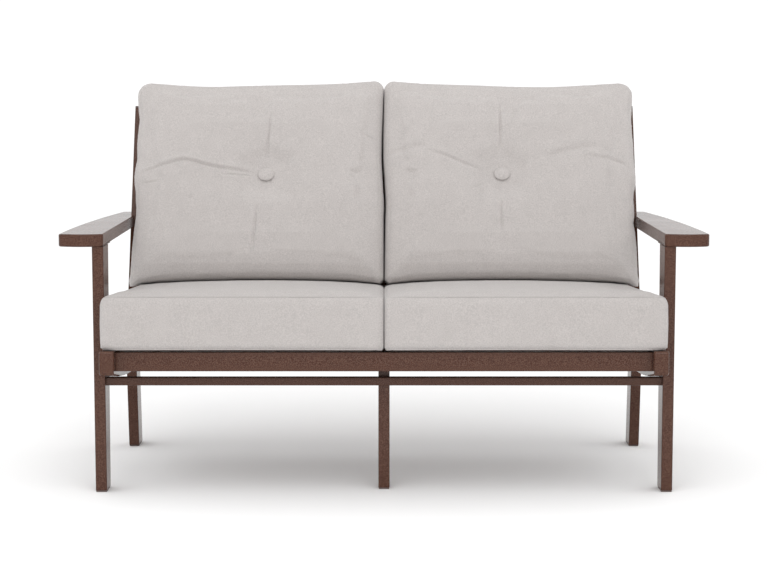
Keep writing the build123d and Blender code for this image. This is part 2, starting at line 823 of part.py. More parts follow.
def singles():
    """The pieces that the loveseat has once, and the rows of slats."""
    pieces = {
        "centre_leg": centre_leg(),
        "centre_glide": foot_glide(centre_leg_outline(), -leg_thickness / 2),
        "front_rail": front_rail(),
        "rear_rail": rear_rail(),
        "centre_beam": centre_beam(),
        "front_stretcher": stretcher(),
        "back_top_rail": back_bar(back_top_rail_rise()),
        "back_bottom_rail": back_bar(back_bottom_rail_rise()),
        "arm_screws": arm_screws(),
        "arm_bolts": arm_bolts(),
    }
    for number in range(seat_slat_count):
        pieces[f"seat_slat_{number + 1}"] = seat_slat(number)
    for number in range(back_slat_count):
        pieces[f"back_slat_{number + 1:02d}"] = back_slat(number)
    return pieces


def loveseat():
    """Every piece by name, with the origin on the ground under the middle."""
    pieces = singles()
    for name, solid in pairs().items():
        pieces[f"right_{name}"] = solid
        pieces[f"left_{name}"] = other_side(solid)
    nose_front = seat_point(0, nose_bottom_radius - nose_height)[0]
    middle = (arm_length + nose_front) / 2
    return {name: Pos(0, -middle, 0) * solid for name, solid in pieces.items()}


os.makedirs("parts", exist_ok=True)
for piece_name, piece in loveseat().items():
    export_step(piece, f"parts/{piece_name}.step")
    print(piece_name, round(piece.volume))
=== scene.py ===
# %% [markdown]
# A garden loveseat for two: a powder coated aluminium frame that carries four loose cushions.
# The frame comes in as finished parts at their real size. This lesson gives them their finish
# and makes what a rigid model can't show well: stuffed cushions with folds and seams, and
# covered buttons. Lengths are in metres, X runs to the right of someone who faces the seat, Y
# to the rear and Z up, and the origin is on the ground under the middle.

# %% Load the frame
import bmesh
import bpy
import json
import math
import numpy as np
from mathutils import Matrix, Vector
from mathutils.bvhtree import BVHTree


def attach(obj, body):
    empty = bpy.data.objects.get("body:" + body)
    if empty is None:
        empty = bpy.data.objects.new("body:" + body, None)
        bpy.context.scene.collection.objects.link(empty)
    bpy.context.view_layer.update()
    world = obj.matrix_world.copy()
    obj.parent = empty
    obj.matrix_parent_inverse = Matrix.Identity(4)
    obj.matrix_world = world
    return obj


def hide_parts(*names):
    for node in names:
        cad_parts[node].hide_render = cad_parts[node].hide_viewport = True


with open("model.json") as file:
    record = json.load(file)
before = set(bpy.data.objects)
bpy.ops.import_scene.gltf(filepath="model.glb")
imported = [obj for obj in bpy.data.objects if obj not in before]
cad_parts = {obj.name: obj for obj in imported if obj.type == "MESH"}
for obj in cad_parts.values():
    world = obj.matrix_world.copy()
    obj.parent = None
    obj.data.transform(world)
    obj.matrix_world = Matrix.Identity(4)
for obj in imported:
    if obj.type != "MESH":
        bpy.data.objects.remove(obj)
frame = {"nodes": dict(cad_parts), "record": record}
scene = bpy.context.scene
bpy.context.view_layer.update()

# %% [markdown]
# Small helpers come first. They put an object in the scene, open a mesh for bmesh's operators
# and write it back, and make a material whose nodes have their inputs set or linked.

# %% Helpers for objects, meshes and materials
def new_object(name, data):
    """An object in the scene for a mesh, a light or a camera."""
    made = bpy.data.objects.new(name, data)
    scene.collection.objects.link(made)
    return made


def opened(mesh):
    """A mesh opened for bmesh's operators."""
    shape = bmesh.new()
    shape.from_mesh(mesh)
    shape.verts.ensure_lookup_table()
    return shape


def closed(shape, mesh):
    """A mesh with what was worked in bmesh written into it."""
    shape.to_mesh(mesh)
    shape.free()
    return mesh


def new_material(name):
    """A material with its tree and its Principled shader."""
    material = bpy.data.materials.new(name)
    material.use_nodes = True
    return material, material.node_tree, material.node_tree.nodes["Principled BSDF"]


def wire(tree, node, values):
    """Sets inputs of a node, or links them where the value is an output of another node."""
    for name, value in values.items():
        if isinstance(value, bpy.types.NodeSocket):
            tree.links.new(value, node.inputs[name])
        else:
            node.inputs[name].default_value = value


# %% [markdown]
# A studio product picture hides its studio: a white sweep with no horizon and light from all
# round. To that come a broad light above, a softer one in front that opens up the shadow under
# the seat, and a narrow strip that draws a bright line along each edge. The camera stands far
# off with a long lens and is tilted slightly down. A wide lens close by would make the arms
# splay, so the distance matters more than the framing.

# %% The camera
camera_distance = 4.4487
camera_height = 0.909
camera_lens = 84.375
camera_tilt = math.radians(83.94)

camera_data = bpy.data.cameras.new("camera")
camera_data.lens = camera_lens
camera = new_object("camera", camera_data)
camera.location = (0, -camera_distance, camera_height)
camera.rotation_euler = (camera_tilt, 0, 0)
scene.camera = camera
print("camera", [round(v, 3) for v in camera.location])

# %% The floor, the white surround and the lights
floor_radius = 60.0
floor_sides = 64
floor_white = (0.97, 0.97, 0.97, 1.0)
floor_roughness = 0.9
surround_white = (1.0, 1.0, 1.0, 1.0)
surround_strength = 1.085
# name, width, height, place, tilt in degrees and power in watts
studio_lights = (
    ("top_light", 3.5, 3.5, (0.0, -2.6, 3.3), 36, 34.0),
    ("front_light", 3.0, 1.0, (0.0, -4.2, 1.3), 82, 7.5),
    ("strip_light", 3.0, 0.12, (0.0, -4.0, 1.9), 69, 12.0),
)

floor_shape = bmesh.new()
bmesh.ops.create_circle(floor_shape, cap_ends=True, segments=floor_sides, radius=floor_radius)
floor = new_object("floor", closed(floor_shape, bpy.data.meshes.new("floor")))
floor_finish, floor_tree, floor_shader = new_material("studio_floor")
wire(floor_tree, floor_shader, {
    "Base Color": floor_white, "Roughness": floor_roughness, "Specular IOR Level": 0.0,
})
floor.data.materials.append(floor_finish)

scene.world = bpy.data.worlds.new("surround")
scene.world.use_nodes = True
surround_tree = scene.world.node_tree
wire(surround_tree, surround_tree.nodes["Background"], {"Color": surround_white, "Strength": surround_strength})
scene.view_settings.view_transform = "Standard"

for light_name, width, height, place, tilt, power in studio_lights:
    light_data = bpy.data.lights.new(light_name, "AREA")
    light_data.shape = "RECTANGLE"
    light_data.size = width
    light_data.size_y = height
    light_data.energy = power
    light = new_object(light_name, light_data)
    light.location = place
    light.rotation_euler = (math.radians(tilt), 0, 0)
    light.visible_camera = False
print("floor radius", floor_radius, "surround", surround_strength, "lights", len(studio_lights))

# %% [markdown]
# A finish that shows on several pieces in several colours is best kept as a node group: the
# group works out where the grain or the threads are, and each material gives it a scale and
# does the shading. A few helpers keep the wiring readable.

# %% Helpers that add and link nodes
value_kind = "NodeSocketFloat"
vector_kind = "NodeSocketVector"


def add_node(tree, kind, values=None, **settings):
    """A shader node of a kind, with its settings made and its inputs set or linked."""
    node = tree.nodes.new(kind)
    for name, value in settings.items():
        setattr(node, name, value)
    wire(tree, node, values or {})
    return node


def math_node(tree, operation, first, second=0.0):
    """One step of arithmetic."""
    return add_node(tree, "ShaderNodeMath", {0: first, 1: second}, operation=operation).outputs[0]


def spread(tree, value, low=0.0, high=1.0, start=0.0, end=1.0, **settings):
    """A value that runs from start to end, spread from low to high."""
    values = {"Value": value, "From Min": start, "From Max": end, "To Min": low, "To Max": high}
    return add_node(tree, "ShaderNodeMapRange", values, **settings).outputs["Result"]


def blended(tree, factor, first, second):
    """Two values blended by a factor."""
    return add_node(tree, "ShaderNodeMix", {0: factor, 2: first, 3: second}, data_type="FLOAT").outputs[0]


def mixed(tree, factor, first, second):
    """Two colours mixed by a factor."""
    return add_node(tree, "ShaderNodeMix", {0: factor, 6: first, 7: second}, data_type="RGBA").outputs[2]


def noise(tree, place, scale, detail, roughness=0.5):
    """A noise from 0 to 1; its scale is in waves per metre."""
    values = {"Vector": place, "Scale": scale, "Detail": detail, "Roughness": roughness}
    return add_node(tree, "ShaderNodeTexNoise", values).outputs["Fac"]


def new_group(name, inputs, outputs):
    """An empty node group with named inputs and value outputs, and its two end nodes."""
    tree = bpy.data.node_groups.new(name, "ShaderNodeTree")
    for socket, kind in inputs.items():
        tree.interface.new_socket(socket, in_out="INPUT", socket_type=kind)
    for socket in outputs:
        tree.interface.new_socket(socket, in_out="OUTPUT", socket_type=value_kind)
    return tree, tree.nodes.new("NodeGroupInput").outputs, tree.nodes.new("NodeGroupOutput")


# %% [markdown]
# The powder coat is a baked resin with a fine pebbled skin, like the peel of an orange. It
# could be painted as an image, but a noise on the piece's own coordinates keeps one real grain
# size everywhere. The group gives a height for the bump, a tint that varies from grain to
# grain, and a slow patchiness that breaks up the broad faces.

# %% The node group for a pebbled coat
pebble_smoothness = 0.7
grain_detail = 3.0
grain_roughness = 0.6
patch_detail = 2.0


def pebbled_coat_group():
    """Height, tint and patches of a pebbled powder coat; the grain is in grains per metre."""
    tree, given, made = new_group(
        "pebbled_coat", {"Place": vector_kind, "Grains": value_kind, "Patches": value_kind},
        ("Height", "Tint", "Patch"),
    )
    place, grains = given["Place"], given["Grains"]
    values = {"Vector": place, "Scale": grains, "Smoothness": pebble_smoothness}
    pebbles = add_node(tree, "ShaderNodeTexVoronoi", values, feature="SMOOTH_F1").outputs["Distance"]
    grain = noise(tree, place, grains, grain_detail, grain_roughness)
    patch = noise(tree, place, given["Patches"], patch_detail)
    wire(tree, made, {"Height": math_node(tree, "ADD", pebbles, grain), "Tint": grain, "Patch": patch})
    return tree


pebbled_coat = pebbled_coat_group()
print("group", pebbled_coat.name, "sockets", [s.name for s in pebbled_coat.interface.items_tree])

# %% [markdown]
# Along the rounded edges of a tube the colour is painted redder and a little darker: a painted
# shade for the darker surroundings that those edges reflect. The Bevel node finds those corners:
# its normal leans away from the face's own normal near an edge, and the angle between the two
# makes a mask.

# %% The node group for edges
edge_samples = 6
edge_cosine = 0.86


def edge_mask_group():
    """A mask that is 1 on the edges of a piece and 0 on its faces."""
    tree, given, made = new_group("edge_mask", {"Width": value_kind}, ("Edge",))
    rounded = add_node(tree, "ShaderNodeBevel", {"Radius": given["Width"]}, samples=edge_samples)
    face = add_node(tree, "ShaderNodeNewGeometry")
    normals = {0: rounded.outputs["Normal"], 1: face.outputs["Normal"]}
    cosine = add_node(tree, "ShaderNodeVectorMath", normals, operation="DOT_PRODUCT").outputs["Value"]
    wire(tree, made, {"Edge": spread(tree, cosine, start=1.0, end=edge_cosine)})
    return tree


edge_mask = edge_mask_group()
print("group", edge_mask.name)

# %% The brown powder coat
coat_face = (0.047, 0.014, 0.007, 1.0)
coat_light_grain = (0.108, 0.052, 0.034, 1.0)
# painted shade: the rounded edges are painted darker and redder for the dark surroundings they reflect
coat_edge_painted_shade = (0.024, 0.006, 0.003, 1.0)
coat_tint_range = (0.41, 0.61)
coat_edge_roughness = 0.38
coat_roughness = (0.17, 0.25)
coat_gloss = 0.27
coat_grains = 500.0
coat_patches = 9.0
coat_bump_height = 0.00008
coat_edge_width = 0.0032


def add_bump(tree, shader, height, distance):
    """Lets a height roughen the surface by a distance."""
    bump = add_node(tree, "ShaderNodeBump", {"Height": height, "Distance": distance})
    wire(tree, shader, {"Normal": bump.outputs["Normal"]})


def add_pebbles(tree, shader, grains, patches, bump_height):
    """Lays the pebbled coat on a material, and gives back its tint and its patches."""
    place = add_node(tree, "ShaderNodeTexCoord").outputs["Object"]
    values = {"Place": place, "Grains": grains, "Patches": patches}
    coat = add_node(tree, "ShaderNodeGroup", values, node_tree=pebbled_coat)
    add_bump(tree, shader, coat.outputs["Height"], bump_height)
    return coat.outputs["Tint"], coat.outputs["Patch"]


def powder_coat_material():
    """Dark brown powder coat: pebbled, satin, with a painted shade that makes its edges redder and darker."""
    material, tree, shader = new_material("brown_powder_coat")
    tint, patch = add_pebbles(tree, shader, coat_grains, coat_patches, coat_bump_height)
    edge = add_node(tree, "ShaderNodeGroup", {"Width": coat_edge_width}, node_tree=edge_mask).outputs["Edge"]
    speckle = spread(tree, tint, start=coat_tint_range[0], end=coat_tint_range[1])
    face = mixed(tree, speckle, coat_face, coat_light_grain)
    # the edge mask mixes in the painted shade along the rounded edges
    wire(tree, shader, {
        "Base Color": mixed(tree, edge, face, coat_edge_painted_shade),
        "Roughness": blended(tree, edge, spread(tree, patch, *coat_roughness), coat_edge_roughness),
        "Specular IOR Level": coat_gloss,
    })
    return material


brown_powder_coat = powder_coat_material()
print("material", brown_powder_coat.name)

# %% [markdown]
# The glides, caps and plugs are moulded plastic in the same brown, duller than the coat and
# with a finer grain. The screws and bolts are turned from stainless steel, with a grain finer
# still. Both reuse the pebble group with other values.

# %% Plastic and steel
# name, face, light grain, roughness, metal, grains and patches per metre, height of the bump
fittings = (
    ("brown_plastic", (0.090, 0.062, 0.052, 1.0), (0.125, 0.090, 0.076, 1.0), (0.42, 0.58), 0.0,
     1400.0, 30.0, 0.00006),
    ("stainless_steel", (0.50, 0.48, 0.46, 1.0), (0.62, 0.60, 0.58, 1.0), (0.24, 0.38), 1.0,
     2600.0, 60.0, 0.00002),
)


def fitting_material(name, face, light_grain, roughness, metal, grains, patches, bump_height):
    """A plain grained material for small fittings."""
    material, tree, shader = new_material(name)
    tint, patch = add_pebbles(tree, shader, grains, patches, bump_height)
    wire(tree, shader, {
        "Base Color": mixed(tree, tint, face, light_grain),
        "Roughness": spread(tree, patch, *roughness),
        "Metallic": metal,
    })
    return material


brown_plastic, stainless_steel = (fitting_material(*row) for row in fittings)
print("materials", brown_plastic.name, stainless_steel.name)

# %% [markdown]
# The cushion cloth is a plain weave of thick acrylic yarn in a heather mix, spun from lighter
# and darker fibres. A weave could be laid out on a UV map, but a stuffed shape has no tidy one,
# so the threads are worked out from the piece's own coordinates. The group looks which way the
# surface faces and lays the threads in the plane that it faces most.

# %% The node group for a plain weave
yarn_scale = 380.0
yarn_detail = 4.0
heather_scale = 34.0
heather_detail = 3.0


def plain_weave_group():
    """Height and yarn shade of a plain weave; the threads are counted per metre."""
    tree, given, made = new_group(
        "plain_weave", {"Place": vector_kind, "Facing": vector_kind, "Threads": value_kind},
        ("Height", "Yarn", "Heather"),
    )
    place = add_node(tree, "ShaderNodeSeparateXYZ", {0: given["Place"]}).outputs
    turned = add_node(tree, "ShaderNodeVectorMath", {0: given["Facing"]}, operation="ABSOLUTE")
    facing = add_node(tree, "ShaderNodeSeparateXYZ", {0: turned.outputs["Vector"]}).outputs
    side = math_node(tree, "GREATER_THAN", facing["X"], math_node(tree, "MAXIMUM", facing["Y"], facing["Z"]))
    lying = math_node(tree, "GREATER_THAN", facing["Z"], facing["Y"])
    across = blended(tree, side, place["X"], place["Y"])
    along = blended(tree, side, blended(tree, lying, place["Z"], place["Y"]), place["Z"])
    warp, weft = (math_node(tree, "MULTIPLY", run, given["Threads"]) for run in (across, along))
    warp_back, weft_back = (
        math_node(tree, "ABSOLUTE", math_node(tree, "SINE", math_node(tree, "MULTIPLY", thread, math.pi)))
        for thread in (warp, weft)
    )
    squares = math_node(tree, "ADD", math_node(tree, "FLOOR", warp), math_node(tree, "FLOOR", weft))
    over = math_node(tree, "FLOORED_MODULO", squares, 2.0)
    wire(tree, made, {
        "Height": blended(tree, over, warp_back, weft_back),
        "Yarn": noise(tree, given["Place"], yarn_scale, yarn_detail),
        "Heather": noise(tree, given["Place"], heather_scale, heather_detail),
    })
    return tree


plain_weave = plain_weave_group()
print("group", plain_weave.name)

# %% [markdown]
# Where two panels are sewn together the cloth turns inwards and swallows the light. The groove
# itself is pressed into the mesh later on, but it is barely wider than the thread, so a thin
# line of darker cloth carries it in the picture.

# %% The node group for the line of a seam
seam_line_turn = (0.80, 0.92)


def seam_line_group():
    """A mask that is 1 along a seam: its height is given, as is how far the face turns up."""
    tree, given, made = new_group(
        "seam_line", {"Height": value_kind, "Level": value_kind, "Half Width": value_kind, "Up": value_kind},
        ("Seam",),
    )
    away = math_node(tree, "SUBTRACT", given["Height"], given["Level"])
    line = spread(
        tree, math_node(tree, "ABSOLUTE", away), 1.0, 0.0, end=given["Half Width"],
        interpolation_type="SMOOTHSTEP",
    )
    steep = spread(tree, math_node(tree, "ABSOLUTE", given["Up"]), 1.0, 0.0, *seam_line_turn)
    wire(tree, made, {"Seam": math_node(tree, "MULTIPLY", line, steep)})
    return tree


seam_line = seam_line_group()
print("group", seam_line.name)

# %% The cushion cloth
cloth_dark_yarn = (0.448, 0.419, 0.406, 1.0)
cloth_light_yarn = (0.580, 0.543, 0.525, 1.0)
cloth_heather_share = 0.15
cloth_mix_range = (0.33, 0.67)
cloth_threads = 900.0
cloth_bump_height = 0.00030
cloth_roughness = 0.92
cloth_gloss = 0.25
cloth_sheen = 0.25
cloth_sheen_roughness = 0.5
cloth_seam = (0.385, 0.358, 0.345, 1.0)
cloth_seam_half_width = 0.0022
inner_side_limit = -0.35
# painted shade: the seat cloth is the back's cloth painted a little darker for how light falls on it
seat_painted_shade = 0.94
seat_slope = math.radians(3.2)
back_recline = math.radians(21.3)
seat_front_y = -0.447716
seat_front_z = 0.341
seat_seams = (0.0045, 0.1208)
seat_seam_level = seat_front_y * math.sin(seat_slope) + seat_front_z * math.cos(seat_slope) + seat_seams[1]


def shaded(colour, shade):
    """A colour made darker or lighter."""
    return (colour[0] * shade, colour[1] * shade, colour[2] * shade, 1.0)


def cloth_material(name, lean, shade=1.0, seam_level=None):
    """Heather grey cloth whose threads follow a cushion that leans by an angle about X."""
    material, tree, shader = new_material(name)
    coordinates = add_node(tree, "ShaderNodeTexCoord").outputs
    place, facing = (
        add_node(tree, "ShaderNodeMapping", {"Vector": coordinates[each], "Rotation": (lean, 0, 0)}).outputs[0]
        for each in ("Object", "Normal")
    )
    values = {"Place": place, "Facing": facing, "Threads": cloth_threads}
    weave = add_node(tree, "ShaderNodeGroup", values, node_tree=plain_weave).outputs
    fibres = math_node(tree, "MULTIPLY", weave["Heather"], cloth_heather_share)
    yarn = math_node(tree, "MULTIPLY", weave["Yarn"], 1 - cloth_heather_share)
    strength = spread(tree, math_node(tree, "ADD", fibres, yarn), 0.0, 1.0, *cloth_mix_range)
    # a shade below 1 darkens both yarns: for the seat cloth this is a painted shade
    colour = mixed(tree, strength, shaded(cloth_dark_yarn, shade), shaded(cloth_light_yarn, shade))
    if seam_level is not None:
        spot = add_node(tree, "ShaderNodeSeparateXYZ", {0: place}).outputs
        turned = add_node(tree, "ShaderNodeSeparateXYZ", {0: facing}).outputs
        outward = math_node(tree, "MULTIPLY", math_node(tree, "SIGN", spot["X"]), turned["X"])
        shows = math_node(tree, "GREATER_THAN", outward, inner_side_limit)
        values = {"Height": spot["Z"], "Level": seam_level, "Half Width": cloth_seam_half_width, "Up": turned["Z"]}
        seam = add_node(tree, "ShaderNodeGroup", values, node_tree=seam_line).outputs["Seam"]
        colour = mixed(tree, math_node(tree, "MULTIPLY", seam, shows), colour, cloth_seam)
    wire(tree, shader, {
        "Base Color": colour, "Roughness": cloth_roughness, "Specular IOR Level": cloth_gloss,
        "Sheen Weight": cloth_sheen, "Sheen Roughness": cloth_sheen_roughness,
    })
    add_bump(tree, shader, weave["Height"], cloth_bump_height)
    return material


seat_cloth = cloth_material("heather_cloth_seat", seat_slope, seat_painted_shade, seat_seam_level)
back_cloth = cloth_material("heather_cloth_back", back_recline)
print("materials", seat_cloth.name, back_cloth.name)

# %% [markdown]
# The frame's pieces keep their own shapes. Each one takes its finish from the material slot
# that the record names for it, so nothing has to be listed here.

# %% Give each part of the frame its finish
slot_finish = {
    "powder_coated_frame": brown_powder_coat,
    "foot_plastic": brown_plastic,
    "fastener_steel": stainless_steel,
}
slot_of = {row["node"]: row["material_slot"] for row in frame["record"]["subparts"]}
finished = 0
for name, node in frame["nodes"].items():
    finish = slot_finish.get(slot_of[name])
    if finish is None:
        continue
    node.data.materials.clear()
    node.data.materials.append(finish)
    finished += 1
print("parts of the frame with their finish:", finished)

# %% [markdown]
# Seat and back cushions lie at an angle, and it is far easier to shape them in their own
# directions: x across, y along and z up from the face that they lie on. A base is an origin
# with those three directions, and small helpers turn points into them and back again. For the
# seat the face is the slats' top, and for the back it is the front of the posts. Later steps
# change such points in place.

# %% The directions of the seat and the back
bend_y = 0.158284
bend_z = 0.262
seat_base = (np.array([0.0, seat_front_y, seat_front_z]), np.array([
    [1.0, 0.0, 0.0],
    [0.0, math.cos(seat_slope), -math.sin(seat_slope)],
    [0.0, math.sin(seat_slope), math.cos(seat_slope)],
]))
back_base = (np.array([0.0, bend_y, bend_z]), np.array([
    [1.0, 0.0, 0.0],
    [0.0, math.sin(back_recline), math.cos(back_recline)],
    [0.0, -math.cos(back_recline), math.sin(back_recline)],
]))


def points_of(mesh, what="co"):
    """The places of a mesh's points as an array, or their outward directions ("normal")."""
    values = np.empty(len(mesh.vertices) * 3)
    mesh.vertices.foreach_get(what, values)
    return values.reshape(-1, 3)


def to_local(co, base):
    """Points in a cushion's own directions."""
    return (co - base[0]) @ base[1].T


def to_world(local, base):
    """Points back in the loveseat's directions."""
    return local @ base[1] + base[0]


def local_points(mesh, base):
    """The points of a mesh in a cushion's own directions."""
    return to_local(points_of(mesh), base)


def form_limits(node, base):
    """The low and the high corner of a CAD piece in a cushion's own directions."""
    local = local_points(frame["nodes"][node].data, base)
    return local.min(axis=0), local.max(axis=0)


def ramp(value, low, high):
    """0 below low, 1 above high and a smooth rise between."""
    share = np.clip((value - low) / (high - low), 0, 1)
    return share * share * (3 - 2 * share)


back_low, back_high = form_limits("right_back_cushion", back_base)
seat_low, seat_high = form_limits("right_seat_cushion", seat_base)
button_low, button_high = form_limits("right_front_button", back_base)
button_middle = (button_low + button_high) / 2
print("back cushion", back_low.round(4), back_high.round(4))
print("seat cushion", seat_low.round(4), seat_high.round(4))
print("button", button_middle.round(4), "seat of the button", round(float(button_low[2]), 4))

# %% [markdown]
# A cushion is a sewn case with foam and fibre pushed into it, so it is never a plain block:
# its faces swell, its sides draw in, its corners stay soft. Sculpted by hand it rarely looks
# full. Here an even mesh is made from the cushion's plain form, a little smaller than it, and
# blown up like a balloon with the cloth simulation. The buttoned spots are held while it
# swells, as the thread does in the real cushion.

# %% An even mesh from a plain form
weld_distance = 0.00002
pad_spacing = 0.008
first_rounds = 2
last_rounds = 2


def applied(obj, name):
    """A mesh with an object's modifiers applied; the object is removed."""
    graph = bpy.context.evaluated_depsgraph_get()
    mesh = bpy.data.meshes.new_from_object(obj.evaluated_get(graph))
    mesh.name = name
    bpy.data.objects.remove(obj)
    return mesh


def place_points(mesh, co):
    """Puts an array of points into a mesh."""
    mesh.vertices.foreach_set("co", np.ascontiguousarray(co, dtype=np.float32).ravel())
    mesh.update()


def eased(mesh, rounds, chosen=None):
    """The mesh with its points, or only the chosen ones, smoothed a number of times."""
    shape = opened(mesh)
    picked = shape.verts if chosen is None else [shape.verts[index] for index in np.flatnonzero(chosen)]
    for _ in range(rounds):
        bmesh.ops.smooth_vert(shape, verts=picked, factor=0.5, use_axis_x=True, use_axis_y=True, use_axis_z=True)
    bmesh.ops.recalc_face_normals(shape, faces=shape.faces)
    return closed(shape, mesh)


def divided(obj, times):
    """An object whose squares are divided and rounded a number of times."""
    divide = obj.modifiers.new("divide", "SUBSURF")
    divide.levels = times
    divide.render_levels = times
    return obj


def even_mesh(node):
    """The form of a CAD cushion as an even mesh of small squares, with its edges eased."""
    form = opened(frame["nodes"][node].data)
    bmesh.ops.remove_doubles(form, verts=form.verts, dist=weld_distance)
    holder = new_object("plain_form", closed(form, bpy.data.meshes.new("plain_form")))
    remesh = holder.modifiers.new("even", "REMESH")
    remesh.mode = "VOXEL"
    remesh.voxel_size = pad_spacing
    return eased(applied(holder, "even_form"), first_rounds)


# %% Blow a pad up inside its cloth case
case_slack = 0.004
case_ease = 0.015
stuffing_pressure = 4.0
stuffing_quality = 5
stuffing_frames = 20
least_held = 0.01


def stuffed(mesh, held, cap):
    """A mesh swollen by the cloth simulation and divided once. Held is 1 where it can't move."""
    start = points_of(mesh) - points_of(mesh, "normal") * case_slack * (1 - held)[:, None]
    place_points(mesh, start)
    pad = new_object("pad_in_its_case", mesh)
    group = pad.vertex_groups.new(name="held")
    for index in np.flatnonzero(held > least_held):
        group.add([int(index)], float(held[index]), "REPLACE")
    cloth = pad.modifiers.new("stuffing", "CLOTH")
    cloth.settings.quality = stuffing_quality
    cloth.settings.use_pressure = True
    cloth.settings.uniform_pressure_force = stuffing_pressure
    cloth.settings.effector_weights.gravity = 0
    cloth.settings.vertex_group_mass = "held"
    cloth.settings.shrink_min = -case_ease
    cloth.collision_settings.use_collision = False
    for step in range(1, stuffing_frames + 1):
        scene.frame_set(step)
    graph = bpy.context.evaluated_depsgraph_get()
    move = points_of(pad.evaluated_get(graph).to_mesh()) - start
    far = np.maximum(np.linalg.norm(move, axis=1), weld_distance)
    move *= np.minimum(1, cap / far)[:, None]
    bpy.data.objects.remove(pad)
    scene.frame_set(1)
    place_points(mesh, start + move)
    print("stuffed: moved", round(float(far.mean()) * 1000, 1), "mm on average,", round(float(far.max()) * 1000, 1))
    return applied(divided(new_object("pad", mesh), 1), "pad")


# %% [markdown]
# A free balloon soon leaves the shape that was asked for, so each point is brought back to
# within a few millimetres of the plain form: a face may swell, but a side that lies on
# something stays flat.

# %% Keep a pad near its form
def surface_of(mesh):
    """The faces of a mesh, ready to be searched."""
    return BVHTree.FromPolygons([v.co for v in mesh.vertices], [p.vertices for p in mesh.polygons])


def held_to_form(mesh, node, proud, sunk):
    """Keeps a pad within so far outside and inside a CAD cushion; both are arrays."""
    form = surface_of(frame["nodes"][node].data)
    co = points_of(mesh)
    for index, point in enumerate(co):
        near, normal, _, _ = form.find_nearest(Vector(point))
        outside = (Vector(point) - near).dot(normal)
        if outside > proud[index]:
            co[index] = near + normal * proud[index]
        elif outside < -sunk[index]:
            co[index] = near - normal * sunk[index]
    place_points(mesh, co)
    return mesh


def settled_in_form(mesh, node, proud, sunk):
    """A pad held to its form, smoothed and held once more."""
    mesh = eased(held_to_form(mesh, node, proud, sunk), last_rounds)
    return held_to_form(mesh, node, proud, sunk)


# %% [markdown]
# Each shape is blown up once, for the right side, and mirrored for the left before the folds
# go in, because no two real cushions crease alike. Two cushions that stand side by side press
# each other flat, and at the front their rounded edges part a little.

# %% Press two cushions together in the middle
meeting_x = 0.0001
meeting_opening = 0.0014
meeting_draw = 0.005
meeting_fade = 0.060


def meet_in_the_middle(local, low, high, front, press):
    """Presses the inner side of a right cushion against its neighbour's. Front is 1 where they part."""
    x, y, _ = local.T
    share = 2 * (y - low[1]) / (high[1] - low[1]) - 1
    nearest = meeting_x + meeting_opening * front
    gap = low[0] - nearest + press + meeting_draw * np.clip(1 - share ** 2, 0, 1)
    x -= gap * (1 - ramp(x, low[0] + meeting_draw, low[0] + meeting_fade))
    x[:] = np.maximum(x, nearest)


# %% [markdown]
# A rounded corner of a cushion is seldom a true quarter circle: foam that stands on slats fills
# its lower edge out until it is almost square. Growing the points of a corner away from its
# middle, most on the diagonal, gives that fullness and leaves both faces where they were.

# %% Fill out the lower edges of a seat cushion
row_height = 0.010
foot_round = 0.016
foot_core = 0.3
foot_fill = 0.24


def reach_of_rows(outward, along, at):
    """How far out a cushion reaches at given places along it, read from rows of its points."""
    rows = np.maximum(along / row_height, 0).astype(int)
    widest = np.full(rows.max() + 1, -1.0)
    np.maximum.at(widest, rows, outward)
    return np.interp(at, (np.arange(len(widest)) + 0.5) * row_height, widest)


def corner_growth(out, away, radius, core, fill, power):
    """How much the points of a rounded corner grow away from its middle."""
    reach = ramp(np.hypot(out, away), core * radius, radius)
    return 1 + fill * np.sin(2 * np.arctan2(away, out)) ** power * reach


def square_foot(local, side):
    """Fills out one lower edge of a right seat cushion; side is 1 for the outer edge, -1 for the inner."""
    x, y, z = local.T
    edge = reach_of_rows(x * side, y, y)
    out, down = x * side - (edge - foot_round), foot_round - z
    corner = (out > 0) & (down > 0)
    out, down, edge = out[corner], down[corner], edge[corner]
    growth = corner_growth(out, down, foot_round, foot_core, foot_fill, 2)
    x[corner] = np.minimum(edge - foot_round + out * growth, edge) * side
    z[corner] = np.maximum(foot_round - down * growth, seat_low[2])


# %% [markdown]
# The seat cushions are firm and move little. Where the back cushion covers one it can't swell,
# and its crown is pressed lower than a free cushion's would be, by an amount that was read off
# along the line where the two meet. In front of the leg nothing holds its side, which bulges.

# %% Blow up the right seat cushion
seat_cap = 0.008
seat_proud = 0.0020
seat_sunk = 0.0010
resting_proud = 0.0001
seat_side_strip = 0.02
seat_foot_strip = 0.01
seat_covered = (0.24, 0.40)
seat_upper_half = 0.10
seat_front_edge = (0.030, 0.080)
seat_opening = 0.5
seat_press = 0.0045
side_bulge = 0.0040
bulge_along = (0.055, 0.082)
bulge_across = (0.06, 0.01)
crown_height = (0.116, 0.132)
crown_start = (0.02, 0.20)
crown_line = (
    (0.0, 0.0), (0.015, 0.0008), (0.035, 0.0033), (0.06, 0.0046), (0.11, 0.0052), (0.197, 0.0031),
    (0.284, 0.002), (0.371, 0.0024), (0.458, 0.0046), (0.508, 0.006), (0.545, 0.0066), (0.595, 0.005),
    (0.617, 0.002), (0.64, 0.0005),
)


def read_line(line, places_along):
    """Values of a broken line at places along it."""
    return np.interp(places_along, [row[0] for row in line], [row[1] for row in line])


